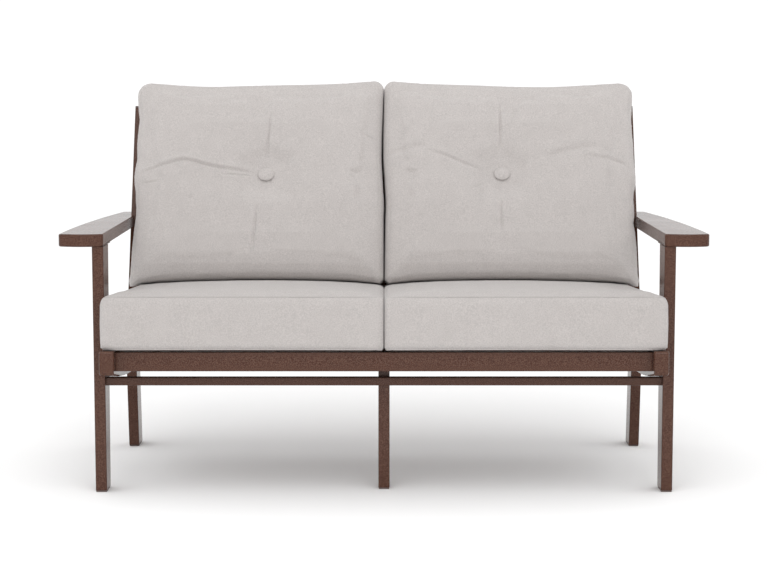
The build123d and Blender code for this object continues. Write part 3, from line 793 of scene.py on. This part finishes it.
def stuffed_seat():
    """The right seat cushion, flat where it lies on the slats and full elsewhere."""
    mesh = even_mesh("right_seat_cushion")
    mesh = stuffed(mesh, np.zeros(len(mesh.vertices)), seat_cap)
    x, y, z = local_points(mesh, seat_base).T
    proud = np.full(len(x), seat_proud)
    proud[x > seat_high[0] - seat_side_strip] = resting_proud
    proud[z < seat_low[2] + seat_foot_strip] = resting_proud
    covered = ramp(y, *seat_covered) * (z > seat_upper_half)
    proud = np.minimum(proud, seat_proud + (resting_proud - seat_proud) * covered)
    mesh = settled_in_form(mesh, "right_seat_cushion", proud, np.full(len(x), seat_sunk))
    local = local_points(mesh, seat_base)
    x, y, z = local.T
    meet_in_the_middle(local, seat_low, seat_high, seat_opening * (1 - ramp(y, *seat_front_edge)), seat_press)
    outer = ramp(x, seat_high[0] - bulge_across[0], seat_high[0] - bulge_across[1])
    x += side_bulge * ((1 - ramp(y, *bulge_along)) * outer)
    z -= read_line(crown_line, x) * (ramp(z, *crown_height) * ramp(y, *crown_start))
    square_foot(local, 1)
    square_foot(local, -1)
    place_points(mesh, to_world(local, seat_base))
    return mesh


# %% [markdown]
# The back cushions are softer fibre, so they may swell more. Low down the filling is packed
# tight between the seat and the posts, and the cloth there is calm. Round a tuft the mesh is
# smoothed once more, because the pull of the thread draws the cloth into one even dimple.

# %% Blow up the right back cushion
tuft_hold_radius = 0.026
tuft_free_radius = 0.070
dimple_reach = 0.125
dimple_rounds = 20
dimple_face = 0.09
back_cap = 0.012
back_proud = 0.0035
back_sunk = 0.0022
back_strip = 0.02
lying_height = 0.155
edge_sunk = 0.0006
edge_strip = (0.02, 0.08)
calm_below = 0.27
calm_fade = 0.08
calm_sunk = 0.0003
calm_proud = 0.0006
back_front_edge = (0.115, 0.150)


def tuft_distance(local):
    """How far points of the right back cushion are from the line through its buttons."""
    return np.hypot(local[:, 0] - button_middle[0], local[:, 1] - button_middle[1])


def stuffed_back():
    """The right back cushion, held in at its tufts and flat against the slats."""
    mesh = even_mesh("right_back_cushion")
    held = 1 - ramp(tuft_distance(local_points(mesh, back_base)), tuft_hold_radius, tuft_free_radius)
    mesh = stuffed(mesh, held, back_cap)
    x, y, z = local_points(mesh, back_base).T
    proud = np.full(len(x), back_proud)
    proud[x < back_low[0] + back_strip] = resting_proud
    proud[z < back_low[2] + back_strip] = resting_proud
    proud[local_points(mesh, seat_base)[:, 2] < lying_height] = resting_proud
    edge = np.minimum(np.minimum(x - back_low[0], back_high[0] - x), np.minimum(back_high[1] - y, y - back_low[1]))
    sunk = edge_sunk + (back_sunk - edge_sunk) * ramp(edge, *edge_strip)
    calm = 1 - ramp(y, calm_below, calm_below + calm_fade)
    sunk += (calm_sunk - sunk) * calm
    proud = np.minimum(proud, back_proud + (calm_proud - back_proud) * calm)
    mesh = settled_in_form(mesh, "right_back_cushion", proud, sunk)
    local = local_points(mesh, back_base)
    tuft = tuft_distance(local)
    dimple = (tuft > tuft_hold_radius) & (tuft < dimple_reach) & (local[:, 2] > dimple_face)
    local = local_points(eased(mesh, dimple_rounds, dimple), back_base)
    meet_in_the_middle(local, back_low, back_high, ramp(local[:, 2], *back_front_edge), 0.0)
    place_points(mesh, to_world(local, back_base))
    return mesh


# %% [markdown]
# A back cushion stands on the seat cushion by its own weight, so its lower end follows the
# seat's crown. The height of the seat is read over a grid, by looking straight down on it, and
# the lower end sinks until it lies on that. At the front its rounded edge rolls clear a little.

# %% Let the back cushion settle on the seat cushion
rest_gap = 0.0004
front_gap = 0.0032
front_gap_depth = (0.105, 0.150)
settling_reach = 0.060
seat_margin = 0.014
settling_columns = 60
settling_rows = 24


def seat_heights(seat, across, runs):
    """Heights of a seat cushion's top over a grid of places."""
    top = surface_of(seat)
    heights = np.zeros((len(across), len(runs)))
    clear = seat_high[2] + settling_reach
    for column, x in enumerate(across):
        for row, run in enumerate(runs):
            above = Vector(to_world(np.array([x, run, clear]), seat_base))
            hit = top.ray_cast(above, -Vector(seat_base[1][2]))[0]
            heights[column, row] = to_local(np.array(hit), seat_base)[2]
    return heights


def height_below(heights, across, runs, x, y):
    """Height of the seat cushion's top below points, read from its grid."""
    a = np.clip((x - across[0]) / (across[1] - across[0]), 0, len(across) - 1.001)
    b = np.clip((y - runs[0]) / (runs[1] - runs[0]), 0, len(runs) - 1.001)
    i, j = a.astype(int), b.astype(int)
    a, b = a - i, b - j
    near = heights[i, j] * (1 - a) + heights[i + 1, j] * a
    far = heights[i, j + 1] * (1 - a) + heights[i + 1, j + 1] * a
    return near * (1 - b) + far * b


def rested(back, seat):
    """Lets the lower end of a back cushion sink until it lies on the crown of the seat cushion."""
    local = local_points(back, seat_base)
    x, y, z = local.T
    rest_lift = form_limits("right_back_cushion", seat_base)[0][2]
    across = np.linspace(seat_low[0] + seat_margin, seat_high[0] - seat_margin, settling_columns)
    runs = np.linspace(y.min(), seat_high[1] - seat_margin, settling_rows)
    below = height_below(seat_heights(seat, across, runs), across, runs, x, y)
    gap = rest_gap + front_gap * ramp(local_points(back, back_base)[:, 2], *front_gap_depth)
    drop = rest_lift - below - gap
    z -= drop * (1 - ramp(z - rest_lift, 0, settling_reach))
    z[:] = np.maximum(z, below + gap)
    place_points(back, to_world(local, seat_base))
    print("the back cushion settled by up to", round(float(drop.max()) * 1000, 1), "mm")
    return back


# %% [markdown]
# The cases are boxed: a top and a bottom panel, sewn to a band all round. Each seam is a narrow
# groove with the cloth gathered a little along it. The mesh is cut along three planes at the
# seam, which puts a clean row of points in the groove, and those points are drawn inwards.

# %% Sew the seams
seam_width = 0.0014
seam_depth = 0.0012
seam_sharpness = 1.6
seam_snap = 0.0002
seam_turn = (0.85, 0.98)
seam_fade = 0.05
gather_pitch = 0.011
gather_share = 0.35
back_seams = (0.0060, 0.1460)
back_seam_start = 0.18
seat_seam_start = -1.0


def sew(mesh, seams, base, first_row):
    """Presses the grooves of the seams round a cushion, at levels above the face that it lies on."""
    shape = opened(mesh)
    for level in seams:
        for offset in (-seam_width, 0.0, seam_width):
            place = Vector(to_world(np.array([0.0, 0.0, level + offset]), base))
            whole = shape.verts[:] + shape.edges[:] + shape.faces[:]
            bmesh.ops.bisect_plane(shape, geom=whole, dist=seam_snap, plane_co=place, plane_no=Vector(base[1][2]))
    closed(shape, mesh)
    co = points_of(mesh)
    x, y, z = to_local(co, base).T
    outward = points_of(mesh, "normal")
    steep = 1 - ramp(np.abs(outward @ base[1][2]), *seam_turn)
    steep *= ramp(y, first_row, first_row + seam_fade)
    gather = 1 + gather_share * np.sin((x + y) * 2 * math.pi / gather_pitch)
    for level in seams:
        groove = np.exp(-((seam_sharpness * (z - level) / seam_width) ** 2))
        co -= outward * (seam_depth * groove * gather * steep)[:, None]
    place_points(mesh, co)
    return mesh


# %% Make both seat cushions and both back cushions
def mirrored(mesh):
    """A copy of a mesh for the left side."""
    other = opened(mesh)
    bmesh.ops.scale(other, vec=(-1, 1, 1), verts=other.verts)
    bmesh.ops.recalc_face_normals(other, faces=other.faces)
    return closed(other, bpy.data.meshes.new("left_copy"))


right_seat = stuffed_seat()
right_back = sew(rested(stuffed_back(), right_seat), back_seams, back_base, back_seam_start)
right_seat = sew(right_seat, seat_seams, seat_base, seat_seam_start)
left_seat = mirrored(right_seat)
left_back = mirrored(right_back)
print("points in a seat cushion", len(right_seat.vertices), "and in a back cushion", len(right_back.vertices))

# %% [markdown]
# Cloth that is pulled to a button creases along the line of the pull: a sharp valley with a
# soft lip beside it, deepest in the middle and fading out at both ends. A fold is given by a
# few points, and every point of the cushion's face near that line is pressed in by its
# distance from it. Broad shallow valleys are made the same way, only wider. The mesh is
# divided once more along the sharp creases, so that they stay narrow.

# %% Press a fold into a cushion's face
fold_face = (0.10, 0.135)
fold_end = 0.02
lip_offset = 2.0
lip_spread = 1.6
crease_margin = 0.018
broad = 0.045


def distance_to_line(flat, line):
    """Distance of points from a broken line, signed by their side of it, and how far along."""
    best = np.full(len(flat), np.inf)
    side = np.zeros(len(flat))
    along = np.zeros(len(flat))
    ends = [np.array(point) for point in line]
    lengths = [np.linalg.norm(b - a) for a, b in zip(ends, ends[1:])]
    total = sum(lengths)
    done = 0.0
    for start, end, length in zip(ends, ends[1:], lengths):
        direction = (end - start) / length
        offset = flat - start
        run = np.clip(offset @ direction, 0, length)
        away = offset - run[:, None] * direction
        distance = np.hypot(away[:, 0], away[:, 1])
        nearer = distance < best
        best[nearer] = distance[nearer]
        side[nearer] = (direction[0] * offset[:, 1] - direction[1] * offset[:, 0])[nearer]
        along[nearer] = ((done + run) / total)[nearer]
        done += length
    return best * np.where(side < 0, -1, 1), along


def smooth_line(points, rounds=2):
    """A broken line with its corners cut, so that a fold bends softly."""
    for _ in range(rounds):
        cut = [points[0]]
        for a, b in zip(points, points[1:]):
            cut.append(tuple(0.75 * p + 0.25 * q for p, q in zip(a, b)))
            cut.append(tuple(0.25 * p + 0.75 * q for p, q in zip(a, b)))
        points = cut + [points[-1]]
    return points


def press_fold(local, centre, line, width, depth, lip):
    """Presses one fold into the front of a back cushion, and raises a lip on its upper side."""
    signed, along = distance_to_line(local[:, :2] - centre, smooth_line(line))
    fade = np.sqrt(np.clip(np.sin(math.pi * np.clip(along, fold_end, 1 - fold_end)), 0, 1))
    valley = np.exp(-((signed / width) ** 2))
    ridge = np.exp(-(((signed - lip_offset * width) / (lip_spread * width)) ** 2))
    local[:, 2] += (lip * ridge - depth * valley) * fade * ramp(local[:, 2], *fold_face)


def finer_near(mesh, folds, centre):
    """Divides the squares of a back cushion once along its sharp creases, and counts the edges."""
    local = local_points(mesh, back_base)
    near = np.zeros(len(local), dtype=bool)
    for line, width, _, _ in folds:
        if width < broad:
            near |= np.abs(distance_to_line(local[:, :2] - centre, smooth_line(line))[0]) < crease_margin
    near &= local[:, 2] > fold_face[0]
    shape = opened(mesh)
    edges = [edge for edge in shape.edges if near[edge.verts[0].index] and near[edge.verts[1].index]]
    bmesh.ops.subdivide_edges(shape, edges=edges, cuts=1, use_grid_fill=True)
    closed(shape, mesh)
    return len(edges)


# %% The folds of the two back cushions
crease = 0.0026
soft_crease = 0.0044
soft = 0.0090
# the points of each fold from the button's middle, its width, its depth and the height of its lip
left_folds = [
    ([(-0.312, 0.006), (-0.2605, 0.022), (-0.207, 0.037), (-0.168, 0.025), (-0.122, 0.0145), (-0.076, 0.009),
      (-0.03, 0.003)], soft_crease, 0.0044, 0.0024),
    ([(-0.112, -0.0034), (-0.072, -0.003), (-0.032, -0.0034)], crease, 0.0022, 0.001),
    ([(0.0115, 0.163), (0.0076, 0.104), (0.0012, 0.045)], crease, 0.0042, 0.0014),
    ([(-0.02, -0.085), (-0.025, -0.152), (-0.03, -0.216)], crease, 0.004, 0.0014),
    ([(0.244, 0.11), (0.291, 0.091)], crease, 0.0018, 0.0008),
    ([(-0.312, -0.024), (-0.272, -0.02)], crease, 0.0018, 0.0008),
    ([(0.0, 0.24), (0.002, 0.13), (0.0, 0.03)], broad, 0.005, 0.0),
    ([(0.0, -0.03), (-0.01, -0.12), (-0.02, -0.22)], broad, 0.003, 0.0),
    ([(-0.25, -0.01), (-0.14, -0.01), (-0.03, 0.0)], broad, 0.003, 0.0),
    ([(0.03, 0.0), (0.14, 0.004), (0.25, 0.01)], broad, 0.0025, 0.0),
]
right_folds = [
    ([(-0.0026, 0.195), (-0.0032, 0.135), (-0.003, 0.07)], crease, 0.0046, 0.0016),
    ([(-0.004, -0.07), (-0.0037, -0.1), (-0.0021, -0.155)], crease, 0.004, 0.0014),
    ([(-0.077, -0.04), (-0.039, -0.021)], crease, 0.0014, 0.0006),
    ([(-0.295, 0.056), (-0.2725, 0.0602), (-0.2014, 0.0737), (-0.18, 0.074)], soft, 0.0026, 0.001),
    ([(-0.1863, 0.0602), (-0.136, 0.0439), (-0.0904, 0.0222), (-0.06, 0.014)], soft_crease, 0.003, 0.0012),
    ([(0.105, 0.04), (0.1431, 0.0547), (0.2197, 0.071), (0.25, 0.07)], soft, 0.0034, 0.0012),
    ([(0.222, 0.046), (0.2845, 0.0385), (0.3142, 0.0222)], soft_crease, 0.0028, 0.0012),
    ([(0.174, 0.112), (0.143, 0.098), (0.112, 0.082)], soft, 0.0014, -0.0006),
    ([(0.0, 0.25), (-0.006, 0.13), (-0.003, 0.03)], broad, 0.005, 0.0),
    ([(0.0, -0.03), (-0.008, -0.12), (-0.012, -0.22)], broad, 0.003, 0.0),
    ([(-0.25, 0.03), (-0.14, 0.02), (-0.03, 0.0)], broad, 0.0025, 0.0),
    ([(0.03, 0.0), (0.14, 0.012), (0.25, 0.02)], broad, 0.003, 0.0),
]
print("folds on the left and on the right:", len(left_folds), len(right_folds))

# %% [markdown]
# The long sides of a back cushion aren't straight either: the seam gathers the cloth a little
# every few centimetres. The outer side is given as a line, a height up the back and a distance
# out from the middle, and the cushion's own edge is moved onto that line. Where the two back
# cushions press on each other, the line between them wavers too, and both follow the same one.

# %% The wavering sides of the back cushions
side_fade = 0.090
side_edge = 0.01
left_side = (
    (0.14, 0.6476), (0.169, 0.646), (0.212, 0.6443), (0.254, 0.6428), (0.318, 0.6391), (0.34, 0.6392),
    (0.361, 0.6409), (0.383, 0.6398), (0.405, 0.6448), (0.426, 0.6458), (0.448, 0.6439), (0.47, 0.6404),
    (0.492, 0.6419), (0.514, 0.643), (0.536, 0.6426), (0.58, 0.6372), (0.602, 0.6394), (0.635, 0.6422),
)
right_side = (
    (0.14, 0.6476), (0.169, 0.646), (0.212, 0.6456), (0.254, 0.6451), (0.276, 0.6436), (0.297, 0.641),
    (0.318, 0.645), (0.34, 0.6453), (0.361, 0.6435), (0.383, 0.6437), (0.405, 0.6507), (0.426, 0.6507),
    (0.47, 0.6486), (0.514, 0.6491), (0.558, 0.6466), (0.58, 0.6446), (0.602, 0.6456), (0.635, 0.6481),
)
middle_line = ((0.132, 0.0), (0.309, 0.0013), (0.355, 0.0026), (0.471, -0.0039), (0.526, -0.0039), (0.655, 0.0))
middle_core = 0.010


def follow_side(local, line, side):
    """Moves the outer side of a back cushion onto a line; side is 1 on the right."""
    x, y, _ = local.T
    heights = np.clip(y, line[0][0], line[-1][0])
    shift = read_line(line, heights) - reach_of_rows(x * side, y, heights)
    x += side * shift * ramp(x * side, back_high[0] - side_fade, back_high[0] - side_edge)


def follow_middle(local, side):
    """Lets the inner side of a back cushion waver with its neighbour's."""
    x, y, z = local.T
    shift = read_line(middle_line, y) * (1 - ramp(x * side, middle_core, meeting_fade))
    nearest = meeting_x + meeting_opening * ramp(z, *back_front_edge)
    x[:] = side * np.maximum(x * side, nearest) + shift


# %% [markdown]
# A loose filling has four more habits. It fills out the upper inner corner, it sinks and swells
# the face low down, it lets the lower outer corner hang over the edge of the seat, and it
# leaves the top edge a little empty between the corners.

# %% The corners, the belly and the top edge of the back cushions
top_corner = 0.034
corner_core = 0.2
corner_fill = 0.18
belly_height = 0.188
belly_spread = 0.050
belly_depth = 0.0055
belly_inner = 0.08
belly_outer = 0.09
belly_face = (0.10, 0.15)
corner_sag = 0.0055
sag_across = (0.032, 0.004)
sag_heights = (0.135, 0.20)
sag_depths = (0.06, 0.12)
top_reach = 0.12
# where each dip lies (-1 is the inner side, 1 the outer), its width and its depth
left_top = ((0.43, 0.35, 0.006), (-0.95, 0.25, -0.004))
right_top = ((0.3, 0.45, 0.0062), (-0.95, 0.2, -0.0033))


def fill_corner(local, side):
    """Fills out the upper inner corner of a back cushion, which is squarer than the outer one."""
    x, y, _ = local.T
    middle_x, middle_y = back_low[0] + top_corner, back_high[1] - top_corner
    inward, up = middle_x - x * side, y - middle_y
    corner = (inward > 0) & (up > 0)
    inward, up = inward[corner], up[corner]
    growth = corner_growth(inward, up, top_corner, corner_core, corner_fill, 1)
    x[corner] = (middle_x - inward * growth) * side
    y[corner] = middle_y + up * growth


def lower_belly(local, side):
    """Swells the lower part of a back cushion's face, where the filling has sunk."""
    x, y, z = local.T
    height = np.exp(-(((y - belly_height) / belly_spread) ** 2))
    across = ramp(x * side, back_low[0], back_low[0] + belly_inner)
    across *= 1 - ramp(x * side, back_high[0] - belly_outer, back_high[0])
    z += belly_depth * height * across * ramp(z, *belly_face)


def sag_corner(local, side):
    """Lets the lower outer corner of a back cushion hang over the edge of the seat cushion."""
    x, y, z = local.T
    share = ramp(x * side, back_high[0] - sag_across[0], back_high[0] - sag_across[1])
    share *= 1 - ramp(y, *sag_heights)
    y -= corner_sag * share * ramp(z, *sag_depths)


def sag_top(local, top_dips, side):
    """Lets the top edge of a back cushion dip, and lift where the depth is negative."""
    x, y, _ = local.T
    near_top = ramp(y, back_high[1] - top_reach, back_high[1])
    across = np.clip((2 * x * side - back_low[0] - back_high[0]) / (back_high[0] - back_low[0]), -1, 1)
    for place, width, dip in top_dips:
        y -= dip * near_top * np.exp(-(((across - place) / width) ** 2))


def shape_back(mesh, folds, line, top_dips, side):
    """Gives a back cushion its folds, wavering sides, corners and top edge; side is 1 on the right."""
    centre = np.array([button_middle[0] * side, button_middle[1]])
    divided = finer_near(mesh, folds, centre)
    local = local_points(mesh, back_base)
    for fold, width, depth, lip in folds:
        press_fold(local, centre, fold, width, depth, lip)
    lower_belly(local, side)
    fill_corner(local, side)
    follow_side(local, line, side)
    follow_middle(local, side)
    sag_corner(local, side)
    sag_top(local, top_dips, side)
    place_points(mesh, to_world(local, back_base))
    print("edges divided along the creases:", divided)


shape_back(left_back, left_folds, left_side, left_top, -1)
shape_back(right_back, right_folds, right_side, right_top, 1)


def dressed(mesh, name, finish):
    """An object for a mesh, smooth and in its cloth."""
    mesh.name = name
    mesh.materials.clear()
    mesh.materials.append(finish)
    mesh.polygons.foreach_set("use_smooth", [True] * len(mesh.polygons))
    return new_object(name, mesh)


def finish_cushion(mesh, body, finish):
    """Makes a finished cushion that rides on its body and stands for its plain form."""
    node = body + "_cushion"
    made = dressed(mesh, body + "_pad", finish)
    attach(made, body)
    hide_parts(node)
    print(made.name, "points", len(mesh.vertices))


finish_cushion(left_back, "left_back", back_cloth)
finish_cushion(right_back, "right_back", back_cloth)
finish_cushion(left_seat, "left_seat", seat_cloth)
finish_cushion(right_seat, "right_seat", seat_cloth)

# %% [markdown]
# A covered button is a metal shell with a disc of the same cloth pressed over it, so it is
# domed, with a soft shoulder and a rim that tucks under. Its profile is a few points, spun
# round, which gives clean rings of squares for the subdivision to round off. The front buttons
# hang a little on their thread: they tilt, and look flatter than round.

# %% The covered buttons
front_button_profile = ((0.0, 0.0066), (0.0090, 0.0063), (0.0155, 0.0053), (0.0196, 0.0036), (0.0213, 0.0014),
                        (0.0204, -0.0006), (0.0160, -0.0016), (0.0, -0.0018))
rear_button_profile = ((0.0, 0.0047), (0.0070, 0.0043), (0.0115, 0.0032), (0.0142, 0.0018), (0.0147, 0.0005),
                       (0.0130, -0.0003), (0.0, -0.0004))
button_sides = 32
button_pleats = 14
button_pleat_depth = 0.00035
button_rim_share = 0.9
button_rounding = 2
button_tilt = math.radians(6)
button_squash = 0.85
button_sink = 0.0006
button_lift = {"left_front_button": 0.0010, "right_front_button": 0.0030}


def spun_button(profile):
    """A button about the Z axis: its profile spun, closed and lightly pleated at the rim."""
    shape = bmesh.new()
    points = [shape.verts.new((radius, 0, height)) for radius, height in profile]
    edges = [shape.edges.new(pair) for pair in zip(points, points[1:])]
    bmesh.ops.spin(
        shape, geom=points + edges, cent=(0, 0, 0), axis=(0, 0, 1), angle=2 * math.pi, steps=button_sides,
        use_merge=True,
    )
    bmesh.ops.remove_doubles(shape, verts=shape.verts, dist=weld_distance)
    rim = max(radius for radius, _ in profile)
    for vert in shape.verts:
        radius = math.hypot(vert.co.x, vert.co.y)
        if radius > rim * button_rim_share:
            ripple = button_pleat_depth * math.cos(button_pleats * math.atan2(vert.co.y, vert.co.x))
            vert.co.x *= 1 + ripple / radius
            vert.co.y *= 1 + ripple / radius
    bmesh.ops.recalc_face_normals(shape, faces=shape.faces)
    return shape


def covered_button(node, body, profile, facing):
    """Makes a button that stands for a CAD button, with its face to the front (1) or rear (-1)."""
    low, high = form_limits(node, back_base)
    middle = (low + high) / 2
    shape = spun_button(profile)
    base, squash, sink = high[2], 1.0, 0.0
    if facing > 0:
        base, squash, sink = low[2], button_squash, button_sink
        bmesh.ops.rotate(shape, verts=shape.verts, cent=(0, 0, 0), matrix=Matrix.Rotation(-button_tilt, 3, "X"))
    up = middle[1] + button_lift.get(node, 0.0)
    for vert in shape.verts:
        local = np.array([middle[0] + vert.co.x, up + vert.co.y * squash * facing, base + vert.co.z * facing - sink])
        vert.co = to_world(local, back_base)
    bmesh.ops.recalc_face_normals(shape, faces=shape.faces)
    made = dressed(closed(shape, bpy.data.meshes.new(node)), node + "_cover", back_cloth)
    divided(made, button_rounding)
    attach(made, body)
    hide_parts(node)


for side_name in ("left", "right"):
    covered_button(side_name + "_front_button", side_name + "_back", front_button_profile, 1)
    covered_button(side_name + "_rear_button", side_name + "_back", rear_button_profile, -1)
print("buttons made:", 4)
